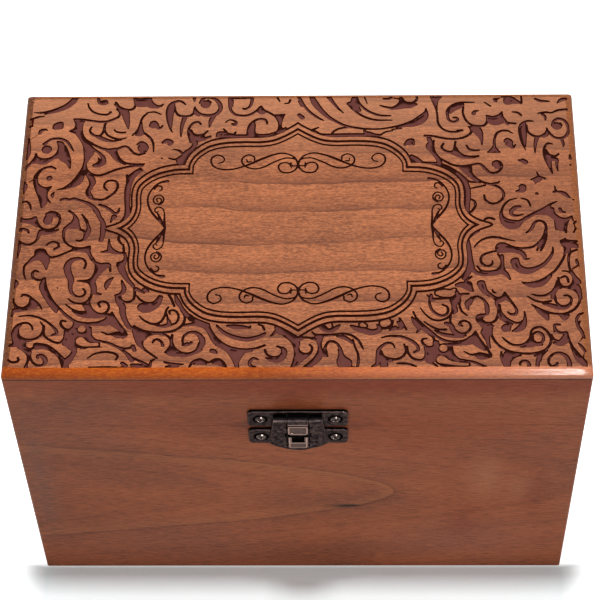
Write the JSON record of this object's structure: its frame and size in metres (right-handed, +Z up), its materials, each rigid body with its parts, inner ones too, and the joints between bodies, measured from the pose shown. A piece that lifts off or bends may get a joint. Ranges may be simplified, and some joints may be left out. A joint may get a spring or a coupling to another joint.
{
  "type": "recipe card box",
  "caption": "Mitred wooden box for recipe cards, with a carved hinged lid, sunk butt hinges at the back and a swinging shield hasp at the front.",
  "frame": {"origin": "middle of the underside of the wooden case, on the surface that the box stands on", "axes": "+X to the right as seen from the front, +Y from the front with the latch to the back with the hinges, +Z up"},
  "size_m": [0.178, 0.112, 0.127],
  "materials": {
    "carved_top": "orange-brown wood with burnt, sunken scrollwork under satin lacquer",
    "case_wood": "reddish-brown stained wood under satin lacquer",
    "inner_wood": "stained plywood panel, satin",
    "bronze": "dark antique bronze with bright worn edges",
    "hinge_bronze": "antique bronze, lightly worn",
    "screw_bronze": "darkened bronze with polished high spots"
  },
  "bodies": {
    "case": {"case_front": "case_wood", "case_back": "case_wood", "case_left": "case_wood", "case_right": "case_wood", "case_floor": "inner_wood", "case_hinge_leaf_left": "hinge_bronze", "case_hinge_leaf_right": "hinge_bronze", "hinge_pin_left": "hinge_bronze", "hinge_pin_right": "hinge_bronze", "case_hinge_screws": "screw_bronze", "catch_plate": "bronze", "catch_plate_screws": "screw_bronze"},
    "lid": {"lid_front": "case_wood", "lid_back": "case_wood", "lid_left": "case_wood", "lid_right": "case_wood", "lid_top": "carved_top", "lid_hinge_leaf_left": "hinge_bronze", "lid_hinge_leaf_right": "hinge_bronze", "lid_hinge_screws": "screw_bronze", "latch_plate": "bronze", "latch_plate_screws": "screw_bronze", "latch_pin": "bronze"},
    "hasp": {"hasp": "bronze"}
  },
  "joints": [
    {"name": "lid_hinge", "type": "hinge", "parent": "case", "child": "lid", "pos_m": [0, 0.0524, 0.09655], "axis": [-1, 0, 0], "range_deg": [0, 105]},
    {"name": "hasp_hinge", "type": "hinge", "parent": "lid", "child": "hasp", "pos_m": [0, -0.05665, 0.10495], "axis": [-1, 0, 0], "range_deg": [0, 180]}
  ]
}
